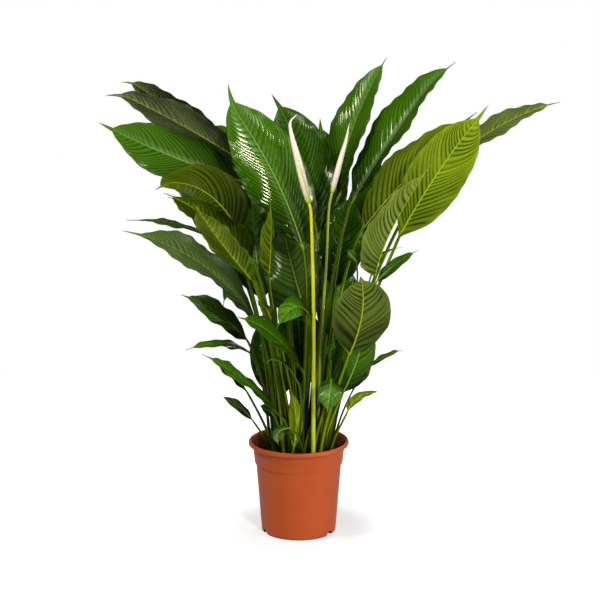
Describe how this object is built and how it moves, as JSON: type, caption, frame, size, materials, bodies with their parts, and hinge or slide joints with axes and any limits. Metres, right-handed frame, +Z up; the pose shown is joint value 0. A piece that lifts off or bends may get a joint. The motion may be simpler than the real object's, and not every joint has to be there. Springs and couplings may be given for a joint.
{
  "type": "potted peace lily",
  "caption": "Peace lily in a round nursery pot: long-stalked arching leaves and rolled white flower buds above dark soil.",
  "frame": {"origin": "middle of the pot's flat underside, on the surface that the pot stands on", "axes": "+Z up along the pot's axis, -Y towards the plant's front, +X to the right seen from the front"},
  "size_m": [0.91, 0.69, 0.98],
  "materials": {
    "leaf": "gloss",
    "flower_stalk": "satin",
    "spathe": "satin",
    "pot_plastic": "satin",
    "peat": "matte"
  },
  "bodies": {
    "root": {"leaf_left_01": "leaf", "leaf_left_02": "leaf", "leaf_left_03": "leaf", "leaf_left_04": "leaf", "leaf_left_05": "leaf", "leaf_left_06": "leaf", "leaf_left_07": "leaf", "leaf_left_08": "leaf", "leaf_left_09": "leaf", "leaf_left_10": "leaf", "leaf_left_11": "leaf", "leaf_left_12": "leaf", "leaf_left_13": "leaf", "leaf_left_14": "leaf", "leaf_left_15": "leaf", "leaf_left_16": "leaf", "leaf_left_17": "leaf", "leaf_mid_01": "leaf", "leaf_mid_02": "leaf", "leaf_mid_03": "leaf", "leaf_mid_04": "leaf", "leaf_mid_05": "leaf", "leaf_mid_06": "leaf", "leaf_mid_07": "leaf", "leaf_mid_08": "leaf", "leaf_mid_09": "leaf", "leaf_mid_10": "leaf", "leaf_mid_11": "leaf", "leaf_mid_12": "leaf", "leaf_mid_13": "leaf", "leaf_right_01": "leaf", "leaf_right_02": "leaf", "leaf_right_03": "leaf", "leaf_right_04": "leaf", "leaf_right_05": "leaf", "leaf_right_06": "leaf", "leaf_right_07": "leaf", "leaf_right_08": "leaf", "leaf_right_09": "leaf", "leaf_right_10": "leaf", "leaf_right_11": "leaf", "leaf_right_12": "leaf", "leaf_right_13": "leaf", "leaf_right_14": "leaf", "leaf_back_01": "leaf", "leaf_back_02": "leaf", "leaf_back_03": "leaf", "leaf_back_04": "leaf", "leaf_back_05": "leaf", "leaf_back_06": "leaf", "leaf_back_07": "leaf", "leaf_back_08": "leaf", "leaf_back_09": "leaf", "leaf_back_10": "leaf", "flower_1_stalk": "flower_stalk", "flower_1_spathe": "spathe", "flower_2_stalk": "flower_stalk", "flower_2_spathe": "spathe", "pot": "pot_plastic", "soil": "peat"}
  },
  "joints": []
}
